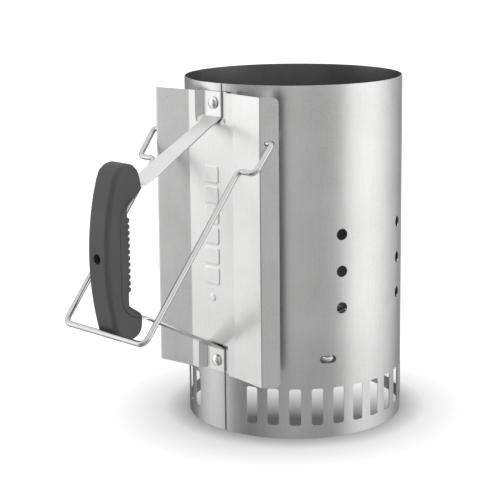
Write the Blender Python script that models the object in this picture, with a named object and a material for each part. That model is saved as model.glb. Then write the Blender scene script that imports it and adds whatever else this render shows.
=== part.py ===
"""Chimney charcoal starter: a rolled steel barrel with a wire cone grate inside, a folded heat
shield, a strap handle with a two-piece plastic grip, and a swinging wire bail.

The origin is on the ground at the centre of the whole object's footprint. +Z is up, the handle
points to -Y, and the object is symmetric left to right about X = 0 apart from the barrel's seam.
"""

import math

import bmesh
import bpy
from mathutils import Matrix, Vector

MM = 0.001
GAP = 0.3 * MM  # between faces that touch on the real object

# Barrel
BARREL_RADIUS = 95.25 * MM
BARREL_HEIGHT = 300 * MM
SHEET = 0.7 * MM
BARREL_STEP = 3  # degrees between the corners of the faceted barrel
LAP_EDGE = 3.7  # degrees from the handle's centre to the visible edge of the lap seam
LAP_INNER_END = -8
LAP_RAMP = (4.3, 62)  # degrees over which the sheet draws in to pass under its own edge

DRAFT_SLOTS = 29
FIRST_DRAFT_SLOT = 20.1  # degrees either side of the handle
DRAFT_SLOT_WIDTH = 9.9 * MM
DRAFT_SLOT_Z = (11.6 * MM, 43.4 * MM)
DRAFT_SLOT_CORNER = 2.2 * MM

VENT_COLUMNS = 8
VENT_DIAMETER = 9.8 * MM
VENT_HEIGHTS = [112 * MM, 143.4 * MM, 174.8 * MM]

# Cone grate
GRATE_ANGLES = (60, 180, 300)
GRATE_Z = 68.4 * MM
GRATE_SLOT = (14.4 * MM, 6.4 * MM)
GRATE_WIRE = 4 * MM
GRATE_TIP = BARREL_RADIUS - 0.75 * MM  # centre of the hairpin's bend, measured from the axis
GRATE_TOP = 9 * MM
GRATE_RISE = 0.69
HAIRPIN_HALF_WIDTH = 4.6 * MM
RING_RADII = [12.0 * MM + 18.35 * MM * i for i in range(5)]

# Heat shield, seen from above: distance across from the centre line, and reach from the axis
MIDDLE_Z = 173.1 * MM  # the shield and strap are symmetric about this height
SHIELD_HALF_HEIGHT = 120.3 * MM
SHIELD_REACH = 101.5 * MM
SHIELD_FOLD = (25.8 * MM, SHIELD_REACH)
SHIELD_CORNER = (61.4 * MM, 106.5 * MM)
SHIELD_EDGE = (72.6 * MM, 96.1 * MM)
SHIELD_EDGE_ROUND = 5 * MM
POCKET_FLOOR = 13.5 * MM
POCKET_RIM = 18 * MM
POCKET_LENGTH = 20.3 * MM
POCKET_RAMP = 6.5 * MM

# Strap
STRAP = 1.4 * MM
TAB_REACH = BARREL_RADIUS + GAP + SHEET + GAP + STRAP / 2
FOLD_Z = 99.3 * MM  # above and below MIDDLE_Z
ARM_SLOPE = 0.53
ARM_END_Z = 53.8 * MM
STRAP_RUN_REACH = 211.5 * MM
TAB_WIDTH = 17.5 * MM
ARM_WIDTH = 21 * MM
HIDDEN_WIDTH = 16 * MM

# Grip
GRIP_REACH = 226.85 * MM
GRIP_HALF_WIDTH = 12.05 * MM
GRIP_BOTTOM = -68.4 * MM  # this and the grip's other heights are measured from MIDDLE_Z
GRIP_BACK_RADIUS = (210 * MM, 225 * MM)  # above and below the middle
GRIP_ROUND = 4.8 * MM
PALM_REACH = 203 * MM
UPPER_LOBE = [  # (reach, height, corner radius)
    (PALM_REACH, 38.6 * MM, 6 * MM),
    (187.7 * MM, 51.9 * MM, 5 * MM),
    (189.2 * MM, 61.0 * MM, 8 * MM),
    (191.5 * MM, 67.5 * MM, 8 * MM),
    (196.5 * MM, 72.4 * MM, 8 * MM),
    (202.5 * MM, 73.9 * MM, 8 * MM),
    (208.5 * MM, 72.8 * MM, 8 * MM),
    (214.4 * MM, 68.6 * MM, 7 * MM),
    (217.3 * MM, 62.0 * MM, 0),
]
LOWER_LOBE = [
    (PALM_REACH, -40.4 * MM, 4 * MM),
    (189.9 * MM, -49.2 * MM, 5 * MM),
    (190.4 * MM, GRIP_BOTTOM, 11 * MM),
]
BOTTOM_BACK_ROUND = 9 * MM
PARTING_REACH = 212.7 * MM
PARTING_TOP = (47.5 * MM, 20 * MM)  # height, corner radius
PARTING_BOTTOM = (-51.3 * MM, 20 * MM)
RIDGE_PITCH = 5.07 * MM
RIDGE_GROOVES = 13
RIDGE_MIDDLE = 1.2 * MM
RIDGE_REACH = 202 * MM  # of the ridges' tips
RIDGE_HALF_WIDTH = 11.6 * MM
GROOVE_RADIUS = 2 * MM

# Fasteners
RIVET_Z = 110.9 * MM  # above and below MIDDLE_Z
RIVET_SHANK = 2.2 * MM
RIVET_HEAD = 5.2 * MM
SCREW_HEAD = 3.7 * MM
SCREW_SHANK = 2 * MM
SCREW_SEAT = 217.3 * MM
SCREW_WELL = 4.2 * MM
SCREW_TIP = 204.4 * MM

# Bail, with its angle below the horizontal when its cross bar rests on the grip
BAIL_WIRE = 4.6 * MM
PIVOT_REACH = 101.3 * MM
PIVOT_Z = 256.4 * MM
BAIL_ANGLE = math.radians(50.07)
BAIL_LENGTH = 188.05 * MM
BAIL_STUB_END = 58 * MM
BAIL_SHOULDER = 70.2 * MM
KINK_AT = 28.7 * MM
KINK_OUTER = 68.6 * MM
KINK_INNER = 50.1 * MM
BAR_HALF_WIDTH = 48.4 * MM
PIVOT_HOLE = 2.75 * MM

# The whole object is centred on the origin, from the grip's back to the grate's far bend
AXIS_Y = (GRIP_REACH - GRATE_TIP - GRATE_WIRE / 2) / 2


def place(across, reach, z):
    """A point from its distance across the object, its reach from the barrel's axis, and z."""
    return Vector((across, AXIS_Y - reach, z))


def on_barrel(angle, radius, z):
    """A point at an angle in degrees from the handle towards +X, around the barrel's axis."""
    turn = math.radians(angle)
    return place(radius * math.sin(turn), radius * math.cos(turn), z)


def clear_scene():
    for old in list(bpy.data.objects):
        bpy.data.objects.remove(old)


def material(name, colour, roughness, metallic):
    made = bpy.data.materials.new(name)
    made.use_nodes = True
    shader = made.node_tree.nodes["Principled BSDF"]
    shader.inputs["Base Color"].default_value = (*colour, 1)
    shader.inputs["Roughness"].default_value = roughness
    shader.inputs["Metallic"].default_value = metallic
    return made


def add_object(name, data, finish=None):
    made = bpy.data.objects.new(name, data)
    bpy.context.scene.collection.objects.link(made)
    if finish:
        data.materials.append(finish)
    return made


def mesh_from(bm, name, smooth_angle=30):
    bmesh.ops.recalc_face_normals(bm, faces=bm.faces)
    mesh = bpy.data.meshes.new(name)
    bm.to_mesh(mesh)
    bm.free()
    mesh.shade_smooth()
    mesh.set_sharp_from_angle(angle=math.radians(smooth_angle))
    return mesh


def as_cutter(obj):
    obj.hide_render = True
    obj.display_type = "WIRE"
    return obj


def boolean(obj, other, operation="DIFFERENCE"):
    made = obj.modifiers.new(other.name, "BOOLEAN")
    made.operation = operation
    made.solver = "EXACT"
    made.object = other


def solidify(obj, thickness, offset):
    made = obj.modifiers.new("sheet", "SOLIDIFY")
    made.thickness = thickness
    made.offset = offset
    made.use_even_offset = True


def add_prism(bm, near, far):
    """A closed prism between two outlines with the same number of points."""
    rings = [[bm.verts.new(p) for p in ring] for ring in (near, far)]
    count = len(near)
    for i in range(count):
        j = (i + 1) % count
        bm.faces.new((rings[0][i], rings[0][j], rings[1][j], rings[1][i]))
    bm.faces.new(reversed(rings[0]))
    bm.faces.new(rings[1])


def circle_points(radius, count):
    turns = [2 * math.pi * i / count for i in range(count)]
    return [(radius * math.cos(turn), radius * math.sin(turn)) for turn in turns]


def rounded_corner(before, corner, after, radius, steps):
    """The arc that rounds one corner of an outline or path, from one side to the other."""
    back = (before - corner).normalized()
    ahead = (after - corner).normalized()
    half = back.angle(ahead) / 2
    tangent = radius / math.tan(half)
    centre = corner + (back + ahead).normalized() * (radius / math.sin(half))
    start = corner + back * tangent - centre
    end = corner + ahead * tangent - centre
    arc = [start.slerp(end, i / steps).normalized() for i in range(steps + 1)]
    return [centre + spoke * radius for spoke in arc]


def rounded_path(corners, steps=5, closed=False):
    """Points along straight runs whose corners, given as (point, radius), are arcs."""
    points = []
    count = len(corners)
    for i, (corner, radius) in enumerate(corners):
        if radius == 0 or (not closed and i in (0, count - 1)):
            points.append(corner)
            continue
        before = corners[i - 1][0]
        after = corners[(i + 1) % count][0]
        points += rounded_corner(before, corner, after, radius, steps)
    return points


def rounded_slot(width, height, radius, steps=3):
    corners = [(width / 2, height / 2), (-width / 2, height / 2)]
    corners += [(-width / 2, -height / 2), (width / 2, -height / 2)]
    path = rounded_path([(Vector((x, y, 0)), radius) for x, y in corners], steps, closed=True)
    return [(p.x, p.y) for p in path]


def add_radial_cut(bm, outline, angle, z):
    """Adds a prism that cuts an outline through the barrel's wall, at an angle and a height."""
    inside = BARREL_RADIUS - 6 * MM
    outside = BARREL_RADIUS + 4 * MM
    turn = math.radians(angle)
    across = Vector((math.cos(turn), math.sin(turn), 0))
    rings = []
    for radius in (inside, outside):
        centre = on_barrel(angle, radius, z)
        rings.append([centre + across * x + Vector((0, 0, y)) for x, y in outline])
    add_prism(bm, *rings)


def add_tube(name, points, diameter, sides_level, finish, closed=False):
    """A round wire along points, as a curve with a bevel."""
    curve = bpy.data.curves.new(name, "CURVE")
    curve.dimensions = "3D"
    curve.bevel_depth = diameter / 2
    curve.bevel_resolution = sides_level
    curve.use_fill_caps = not closed
    spline = curve.splines.new("POLY")
    spline.points.add(len(points) - 1)
    for target, point in zip(spline.points, points):
        target.co = (*point, 1)
    spline.use_cyclic_u = closed
    return add_object(name, curve, finish)


def spun(name, profile, centre, direction, finish, steps=24):
    """A turned piece: profile is (radius, distance along direction), first and last on the axis."""
    bm = bmesh.new()
    verts = [bm.verts.new((radius, 0, along)) for radius, along in profile]
    edges = [bm.edges.new(pair) for pair in zip(verts, verts[1:])]
    bmesh.ops.spin(
        bm, geom=verts + edges, cent=(0, 0, 0), axis=(0, 0, 1), angle=2 * math.pi, steps=steps,
    )
    bmesh.ops.remove_doubles(bm, verts=bm.verts, dist=0.001 * MM)
    turn = direction.to_track_quat("Z", "Y").to_matrix().to_4x4()
    bm.transform(Matrix.Translation(centre) @ turn)
    return add_object(name, mesh_from(bm, name), finish)


# Barrel --------------------------------------------------------------------------------------


def barrel_stations():
    """(angle, outer radius) along the rolled sheet, from its hidden inner end to the lap edge."""
    inner = BARREL_RADIUS - SHEET - GAP
    start, end = LAP_RAMP
    stations = [(LAP_INNER_END, inner), (-4, inner), (0, inner), (start, inner)]
    for angle in range(9, 361, BARREL_STEP):
        drawn_in = max(0, (end - angle) / (end - start))
        stations.append((angle, BARREL_RADIUS - (BARREL_RADIUS - inner) * drawn_in))
    stations.append((360 + LAP_EDGE, BARREL_RADIUS))
    return stations


def barrel_cutters():
    bm = bmesh.new()
    z_low, z_high = DRAFT_SLOT_Z
    slot = rounded_slot(DRAFT_SLOT_WIDTH, z_high - z_low, DRAFT_SLOT_CORNER)
    spread = 360 - 2 * FIRST_DRAFT_SLOT
    for i in range(DRAFT_SLOTS):
        angle = FIRST_DRAFT_SLOT + spread * i / (DRAFT_SLOTS - 1)
        add_radial_cut(bm, slot, angle, (z_low + z_high) / 2)
    vent = circle_points(VENT_DIAMETER / 2, 14)
    for column in range(VENT_COLUMNS):
        for z in VENT_HEIGHTS:
            add_radial_cut(bm, vent, (column + 0.5) * 360 / VENT_COLUMNS, z)
    width, height = GRATE_SLOT
    grate_slot = rounded_slot(width, height, height / 2 - 0.1 * MM)
    for angle in GRATE_ANGLES:
        add_radial_cut(bm, grate_slot, angle, GRATE_Z)
    rivet_hole = circle_points(RIVET_SHANK + GAP, 16)
    for side in (1, -1):
        add_radial_cut(bm, rivet_hole, 0, MIDDLE_Z + side * RIVET_Z)
    return as_cutter(add_object("barrel_cutters", mesh_from(bm, "barrel_cutters")))


def build_barrel(finish):
    bm = bmesh.new()
    columns = []
    for angle, radius in barrel_stations():
        ends = (0, BARREL_HEIGHT)
        columns.append([bm.verts.new(on_barrel(angle, radius, z)) for z in ends])
    for a, b in zip(columns, columns[1:]):
        bm.faces.new((a[0], b[0], b[1], a[1]))
    mesh = bpy.data.meshes.new("barrel")
    bm.to_mesh(mesh)
    bm.free()
    mesh.shade_smooth()
    mesh.set_sharp_from_angle(angle=math.radians(30))
    barrel = add_object("barrel", mesh, finish)
    solidify(barrel, SHEET, -1)
    boolean(barrel, barrel_cutters())


# Cone grate ----------------------------------------------------------------------------------


def cone_z(radius):
    """Height of the hairpins' centre line at a distance from the axis."""
    return GRATE_Z + GRATE_RISE * (GRATE_TIP - radius)


def hairpin_points(angle):
    """Down one leg of a hairpin, round the bend that pokes through the wall, and back up."""
    turn = math.radians(angle)
    across = Vector((math.cos(turn), math.sin(turn), 0))
    bend = GRATE_TIP - HAIRPIN_HALF_WIDTH
    path = [(-HAIRPIN_HALF_WIDTH, GRATE_TOP)]
    for i in range(9):
        a = math.pi * i / 8
        offset = -HAIRPIN_HALF_WIDTH * math.cos(a)
        path.append((offset, bend + HAIRPIN_HALF_WIDTH * math.sin(a)))
    path.append((HAIRPIN_HALF_WIDTH, GRATE_TOP))
    return [on_barrel(angle, radius, cone_z(radius)) + across * x for x, radius in path]


def build_grate(finish):
    for i, angle in enumerate(GRATE_ANGLES):
        add_tube(f"grate_hairpin_{i + 1}", hairpin_points(angle), GRATE_WIRE, 2, finish)
    drop = (GRATE_WIRE + GAP) * math.hypot(1, GRATE_RISE)
    for i, radius in enumerate(RING_RADII):
        steps = 16 + 8 * i
        z = cone_z(radius) - drop
        ring = [on_barrel(360 * k / steps, radius, z) for k in range(steps)]
        add_tube(f"grate_ring_{i + 1}", ring, GRATE_WIRE, 2, finish, closed=True)


# Heat shield ---------------------------------------------------------------------------------


def shield_columns():
    """(distance across, reach) of the shield's folds, from the left edge to the right one."""
    half = [(POCKET_FLOOR, SHIELD_REACH), (POCKET_RIM, SHIELD_REACH), SHIELD_FOLD]
    half += [SHIELD_CORNER, SHIELD_EDGE]
    return [(-x, reach) for x, reach in reversed(half)] + half


def shield_rows():
    """Heights above MIDDLE_Z of the shield's rows, from the bottom edge to the top one."""
    floor_end = SHIELD_HALF_HEIGHT - POCKET_LENGTH
    half = [floor_end - POCKET_RAMP, floor_end, SHIELD_HALF_HEIGHT]
    return [-z for z in reversed(half)] + half


def shield_cutters():
    bm = bmesh.new()
    reaches = (SHIELD_REACH - 10 * MM, SHIELD_REACH + 6 * MM)
    rivet_hole = circle_points(RIVET_SHANK + GAP, 16)
    for side in (1, -1):
        centre = MIDDLE_Z + side * RIVET_Z
        rings = [[place(x, reach, centre + z) for x, z in rivet_hole] for reach in reaches]
        add_prism(bm, *rings)
    pivot_hole = circle_points(PIVOT_HOLE, 20)
    for side in (1, -1):
        spans = (side * 61.8 * MM, side * 76 * MM)
        rings = []
        for across in spans:
            rings.append([place(across, PIVOT_REACH + x, PIVOT_Z + z) for x, z in pivot_hole])
        add_prism(bm, *rings)
    return as_cutter(add_object("shield_cutters", mesh_from(bm, "shield_cutters")))


def build_shield(finish):
    floor_reach = BARREL_RADIUS + GAP + SHEET
    floor_end = SHIELD_HALF_HEIGHT - POCKET_LENGTH
    bm = bmesh.new()
    grid = []
    for z in shield_rows():
        row = []
        for across, reach in shield_columns():
            if abs(across) <= POCKET_FLOOR and abs(z) >= floor_end:
                reach = floor_reach
            row.append(bm.verts.new(place(across, reach, MIDDLE_Z + z)))
        grid.append(row)
    for low, high in zip(grid, grid[1:]):
        for i in range(len(low) - 1):
            bm.faces.new((low[i], low[i + 1], high[i + 1], high[i]))
    corners = [row[end] for row in (grid[0], grid[-1]) for end in (0, -1)]
    bmesh.ops.bevel(
        bm, geom=corners, offset=SHIELD_EDGE_ROUND, segments=4, profile=0.5, affect="VERTICES",
    )
    mesh = bpy.data.meshes.new("heat_shield")
    bm.to_mesh(mesh)
    bm.free()
    shield = add_object("heat_shield", mesh, finish)
    solidify(shield, SHEET, -1)
    boolean(shield, shield_cutters())


# Strap ---------------------------------------------------------------------------------------


def strap_corners():
    """((reach, z), bend radius) down the whole strap, with z above MIDDLE_Z."""
    arm_end = TAB_REACH + (FOLD_Z - ARM_END_Z) / ARM_SLOPE
    half = [
        ((TAB_REACH, SHIELD_HALF_HEIGHT), 0),
        ((TAB_REACH, FOLD_Z), 3 * MM),
        ((arm_end, ARM_END_Z), 20 * MM),
        ((STRAP_RUN_REACH, ARM_END_Z), 9 * MM),
    ]
    mirrored = [((reach, -z), radius) for (reach, z), radius in reversed(half)]
    return half + mirrored


def strap_width(reach):
    """The strap widens along its arms, and narrows again inside the grip."""
    widths = [
        (TAB_REACH + 1 * MM, TAB_WIDTH),
        (165 * MM, ARM_WIDTH),
        (187 * MM, ARM_WIDTH),
        (198 * MM, HIDDEN_WIDTH),
    ]
    if reach <= widths[0][0]:
        return TAB_WIDTH
    for (low, first), (high, second) in zip(widths, widths[1:]):
        if reach <= high:
            return first + (second - first) * (reach - low) / (high - low)
    return HIDDEN_WIDTH


def strap_mesh(name, extra):
    """The strap as a ribbon with thickness, grown by extra on every side for its clearance."""
    corners = [(Vector((reach, z, 0)), radius) for (reach, z), radius in strap_corners()]
    bends = rounded_path(corners, steps=6)
    path = [bends[0]]
    for point in bends[1:]:
        span = point - path[-1]
        cuts = max(1, round(span.length / (30 * MM)))
        path += [path[-1] + span * (i / cuts) for i in range(1, cuts + 1)]
    if extra:
        path[0] = path[0] + (path[0] - path[1]).normalized() * extra
        path[-1] = path[-1] + (path[-1] - path[-2]).normalized() * extra
    half_thick = STRAP / 2 + extra
    bm = bmesh.new()
    sections = []
    for i, point in enumerate(path):
        ahead = (path[min(i + 1, len(path) - 1)] - point).normalized()
        behind = (point - path[max(i - 1, 0)]).normalized()
        along = (ahead + behind).normalized()
        stretch = 1 / max(0.5, along.dot(ahead if ahead.length else behind))
        normal = Vector((-along.y, along.x, 0)) * half_thick * stretch
        half_width = strap_width(point.x) / 2 + extra
        section = []
        for side, face in ((-1, -1), (1, -1), (1, 1), (-1, 1)):
            spot = point + normal * face
            section.append(bm.verts.new(place(side * half_width, spot.x, MIDDLE_Z + spot.y)))
        sections.append(section)
    for a, b in zip(sections, sections[1:]):
        for i in range(4):
            j = (i + 1) % 4
            bm.faces.new((a[i], a[j], b[j], b[i]))
    bm.faces.new(reversed(sections[0]))
    bm.faces.new(sections[-1])
    return mesh_from(bm, name)


def strap_cutters():
    bm = bmesh.new()
    holes = [(MIDDLE_Z + side * RIVET_Z, TAB_REACH, RIVET_SHANK) for side in (1, -1)]
    holes.append((MIDDLE_Z, STRAP_RUN_REACH, SCREW_SHANK))
    for centre, reach, shank in holes:
        outline = circle_points(shank + GAP, 16)
        rings = []
        for end in (reach - 3 * MM, reach + 3 * MM):
            rings.append([place(x, end, centre + z) for x, z in outline])
        add_prism(bm, *rings)
    return as_cutter(add_object("strap_cutters", mesh_from(bm, "strap_cutters")))


def build_strap(finish):
    strap = add_object("handle_strap", strap_mesh("handle_strap", 0), finish)
    boolean(strap, strap_cutters())


# Grip ----------------------------------------------------------------------------------------


def back_reach(z):
    """Reach of the grip's bowed back face at a height from its middle."""
    radius = GRIP_BACK_RADIUS[0 if z > 0 else 1]
    return GRIP_REACH - radius + math.sqrt(radius**2 - z**2)


def grip_outline():
    """Side outline of the whole grip as (reach, z) points, with a lobe at each end."""
    corners = list(UPPER_LOBE)
    corners += [(back_reach(z), z, 0) for z in [(52 - 9 * i) * MM for i in range(13)]]
    corners.append((back_reach(GRIP_BOTTOM), GRIP_BOTTOM, BOTTOM_BACK_ROUND))
    corners += reversed(LOWER_LOBE)
    return rounded_path([(Vector((r, z, 0)), radius) for r, z, radius in corners], 4, closed=True)


def parting_outline(extra):
    """Side outline of the space that the palm insert takes, grown by extra."""
    reach = PARTING_REACH + extra
    top, top_radius = PARTING_TOP
    bottom, bottom_radius = PARTING_BOTTOM
    corners = [
        (180 * MM, bottom - extra, 0),
        (180 * MM, top + extra, 0),
        (reach, top + extra, top_radius),
        (reach, bottom - extra, bottom_radius),
    ]
    return rounded_path([(Vector((r, z, 0)), radius) for r, z, radius in corners], 5, closed=True)


def side_prism(name, outline, half_width):
    bm = bmesh.new()
    sides = []
    for x in (-half_width, half_width):
        sides.append([place(x, p.x, MIDDLE_Z + p.y) for p in outline])
    add_prism(bm, *sides)
    return mesh_from(bm, name)


def grip_body(name, finish):
    body = add_object(name, side_prism(name, grip_outline(), GRIP_HALF_WIDTH), finish)
    bevel = body.modifiers.new("edges", "BEVEL")
    bevel.width = GRIP_ROUND
    bevel.segments = 3
    bevel.limit_method = "ANGLE"
    bevel.angle_limit = math.radians(60)
    return body


def ridge_block():
    """Carries the ridges straight out to the insert's sides, past its rounded edges."""
    half = (RIDGE_GROOVES - 1) * RIDGE_PITCH / 2
    low, high = RIDGE_MIDDLE - half, RIDGE_MIDDLE + half
    corners = ((RIDGE_REACH, low), (208 * MM, low), (208 * MM, high), (RIDGE_REACH, high))
    outline = [Vector((reach, z, 0)) for reach, z in corners]
    mesh = side_prism("ridge_block", outline, RIDGE_HALF_WIDTH)
    return as_cutter(add_object("ridge_block", mesh))


def groove_cutters():
    bm = bmesh.new()
    outline = circle_points(GROOVE_RADIUS, 10)
    for i in range(RIDGE_GROOVES):
        z = RIDGE_MIDDLE + (i - (RIDGE_GROOVES - 1) / 2) * RIDGE_PITCH
        reach = RIDGE_REACH + 0.2 * MM
        rings = []
        for x in (-GRIP_HALF_WIDTH - 2 * MM, GRIP_HALF_WIDTH + 2 * MM):
            rings.append([place(x, reach + a, MIDDLE_Z + z + b) for a, b in outline])
        add_prism(bm, *rings)
    return as_cutter(add_object("groove_cutters", mesh_from(bm, "groove_cutters")))


def screw_well():
    profile = [
        (0, SCREW_TIP - 1 * MM),
        (SCREW_SHANK + GAP, SCREW_TIP - 1 * MM),
        (SCREW_SHANK + GAP, SCREW_SEAT),
        (SCREW_WELL, SCREW_SEAT),
        (SCREW_WELL, GRIP_REACH + 5 * MM),
        (0, GRIP_REACH + 5 * MM),
    ]
    well = spun("screw_well", profile, place(0, 0, MIDDLE_Z), Vector((0, -1, 0)), None)
    return as_cutter(well)


def build_grip(finish):
    well = screw_well()
    strap_room = as_cutter(add_object("strap_room", strap_mesh("strap_room", GAP)))
    deep = GRIP_HALF_WIDTH + 3 * MM
    insert_room = side_prism("insert_room", parting_outline(0), deep)
    insert_room = as_cutter(add_object("insert_room", insert_room))
    insert_limit = side_prism("insert_limit", parting_outline(-GAP), deep)
    insert_limit = as_cutter(add_object("insert_limit", insert_limit))

    cover = grip_body("grip_cover", finish)
    for cutter in (insert_room, strap_room, well):
        boolean(cover, cutter)

    insert = grip_body("grip_insert", finish)
    boolean(insert, insert_limit, "INTERSECT")
    boolean(insert, ridge_block(), "UNION")
    for cutter in (strap_room, well, groove_cutters()):
        boolean(insert, cutter)


# Fasteners -----------------------------------------------------------------------------------


def build_fasteners(steel):
    tail_reach = BARREL_RADIUS - 2 * SHEET - 2 * GAP
    head_reach = TAB_REACH + STRAP / 2 + GAP
    dome = []
    for i in range(5):
        turn = math.pi / 2 * i / 4
        rise = (0.4 + 2.0 * math.sin(turn)) * MM
        dome.append((RIVET_HEAD * math.cos(turn), head_reach + rise))
    profile = [
        (0, tail_reach - 1.6 * MM),
        (3.2 * MM, tail_reach - 1.6 * MM),
        (3.6 * MM, tail_reach),
        (RIVET_SHANK, tail_reach),
        (RIVET_SHANK, head_reach),
        (RIVET_HEAD, head_reach),
        *dome[:-1],
        (0, dome[-1][1]),
    ]
    for name, side in (("upper_rivet", 1), ("lower_rivet", -1)):
        centre = place(0, 0, MIDDLE_Z + side * RIVET_Z)
        spun(name, profile, centre, Vector((0, -1, 0)), steel)

    head_start = SCREW_SEAT + GAP
    screw_profile = [
        (0, SCREW_TIP),
        (SCREW_SHANK * 0.5, SCREW_TIP),
        (SCREW_SHANK, SCREW_TIP + 2 * MM),
        (SCREW_SHANK, head_start),
        (SCREW_HEAD, head_start),
        (SCREW_HEAD, head_start + 1.2 * MM),
        (SCREW_HEAD * 0.7, head_start + 2.2 * MM),
        (0, head_start + 2.4 * MM),
    ]
    spun("grip_screw", screw_profile, place(0, 0, MIDDLE_Z), Vector((0, -1, 0)), steel)


# Bail ----------------------------------------------------------------------------------------


def bail_point(across, along):
    """A point of the bail from its distance across and its distance from the pivot line."""
    reach = PIVOT_REACH + along * math.cos(BAIL_ANGLE)
    return place(across, reach, PIVOT_Z - along * math.sin(BAIL_ANGLE))


def build_bail(finish):
    half = [
        (BAIL_STUB_END, 0, 0),
        (BAIL_SHOULDER, 0, 3 * MM),
        (KINK_OUTER, KINK_AT, 5 * MM),
        (KINK_INNER, KINK_AT, 5 * MM),
        (BAR_HALF_WIDTH, BAIL_LENGTH, 6.5 * MM),
    ]
    corners = [(bail_point(-across, along), radius) for across, along, radius in half]
    corners += [(bail_point(across, along), radius) for across, along, radius in reversed(half)]
    pivot = bpy.data.objects.new("bail_pivot", None)
    bpy.context.scene.collection.objects.link(pivot)
    pivot.location = place(0, PIVOT_REACH, PIVOT_Z)
    points = [point - pivot.location for point in rounded_path(corners, steps=6)]
    bail = add_tube("bail", points, BAIL_WIRE, 3, finish)
    bail.parent = pivot


def main():
    clear_scene()
    sheet_steel = material("aluminised_steel", (0.62, 0.62, 0.61), 0.35, 1)
    plated_wire = material("plated_wire", (0.66, 0.66, 0.65), 0.25, 1)
    grip_plastic = material("grip_plastic", (0.07, 0.07, 0.07), 0.5, 0)
    build_barrel(sheet_steel)
    build_grate(plated_wire)
    build_shield(sheet_steel)
    build_strap(sheet_steel)
    build_grip(grip_plastic)
    build_fasteners(plated_wire)
    build_bail(plated_wire)


main()
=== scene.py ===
"""Looks for the chimney charcoal starter: finer pieces, materials, floor, world and camera.

Lengths are in metres in the part's own frame: the ground is z = 0, the handle points to -Y, and
"reach" is the distance from the barrel's axis towards the handle.
"""

import math

import bmesh
import bpy
from mathutils import Matrix, Vector


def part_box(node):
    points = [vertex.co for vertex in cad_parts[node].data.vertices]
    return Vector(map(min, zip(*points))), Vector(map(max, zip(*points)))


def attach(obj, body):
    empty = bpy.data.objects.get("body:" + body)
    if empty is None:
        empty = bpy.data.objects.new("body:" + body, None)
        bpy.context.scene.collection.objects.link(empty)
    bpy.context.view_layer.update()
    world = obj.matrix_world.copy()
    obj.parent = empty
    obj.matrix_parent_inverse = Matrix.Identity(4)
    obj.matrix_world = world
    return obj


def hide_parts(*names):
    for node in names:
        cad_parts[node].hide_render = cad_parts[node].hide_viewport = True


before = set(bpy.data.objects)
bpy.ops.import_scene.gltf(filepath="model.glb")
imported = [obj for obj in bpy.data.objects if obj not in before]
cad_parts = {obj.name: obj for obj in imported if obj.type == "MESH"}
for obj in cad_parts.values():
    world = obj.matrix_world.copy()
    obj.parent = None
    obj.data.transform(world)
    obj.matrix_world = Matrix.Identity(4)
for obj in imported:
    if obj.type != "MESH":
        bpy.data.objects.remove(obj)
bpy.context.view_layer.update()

MM = 0.001
GAP = 0.3 * MM

# Barrel
BARREL_LOW, BARREL_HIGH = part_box("barrel")
BARREL_RADIUS = (BARREL_HIGH.x - BARREL_LOW.x) / 2
BARREL_HEIGHT = BARREL_HIGH.z
AXIS_Y = (BARREL_HIGH.y + BARREL_LOW.y) / 2
SHEET = 0.7 * MM
LAP_EDGE = 3.7
LAP_INNER_END = -8
LAP_RAMP = (4.3, 62)
DRAFT_SLOTS = 29
FIRST_DRAFT_SLOT = 20.1
DRAFT_SLOT_WIDTH = 9.9 * MM
DRAFT_SLOT_Z = (11.6 * MM, 43.4 * MM)
DRAFT_SLOT_CORNER = 2.2 * MM
VENT_DIAMETER = 9.8 * MM
VENT_HEIGHTS = [112 * MM, 143.4 * MM, 174.8 * MM]

# Cone grate
GRATE_ANGLES = (60, 180, 300)
GRATE_Z = 68.4 * MM
GRATE_SLOT = (14.4 * MM, 6.4 * MM)
GRATE_WIRE = 4 * MM
GRATE_TIP = 94.5 * MM
GRATE_TOP = 9 * MM
GRATE_RISE = 0.69
HAIRPIN_HALF_WIDTH = 4.6 * MM
RING_RADII = [12.0 * MM + 18.35 * MM * i for i in range(5)]

# Heat shield
MIDDLE_Z = 173.1 * MM
SHIELD_HALF_HEIGHT = 120.3 * MM
SHIELD_REACH = 101.5 * MM
SHIELD_FOLD = 25.8 * MM
SHIELD_CORNER = (61.4 * MM, 106.5 * MM)
SHIELD_EDGE = (72.6 * MM, 96.1 * MM)
POCKET_FLOOR = 13.5 * MM
POCKET_RIM = 18 * MM
POCKET_LENGTH = 20.3 * MM
POCKET_RAMP = 6.5 * MM
FLANGE_ROUND = 5 * MM
PADS = 6
PAD_PITCH = 17.4 * MM
PAD_TOP_Z = 51 * MM  # centre of the top pad, above MIDDLE_Z
PAD_CORE = (6 * MM, 4.7 * MM)  # half sizes of a pad inside its rounded edge
PAD_EDGE = (1.9 * MM, 2.9 * MM)
ROUND_PAD_Z = -55 * MM
ROUND_PAD_EDGE = (2.6 * MM, 3.5 * MM)
PAD_RISE = 0.28 * MM
PADDED = (10 * MM, 62 * MM)  # half sizes of the finer part of the sheet's grid
FINE_GRID = 0.6 * MM
PLAIN_GRID = 1.1 * MM

# Strap
STRAP = 1.4 * MM
TAB_REACH = BARREL_RADIUS + GAP + SHEET + GAP + STRAP / 2
FOLD_Z = 99.3 * MM
ARM_SLOPE = 0.53
ARM_END_Z = 53.8 * MM
STRAP_RUN_REACH = 211.5 * MM
TAB_WIDTH = 17.5 * MM
ARM_WIDTH = 21 * MM
HIDDEN_WIDTH = 16 * MM

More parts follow.
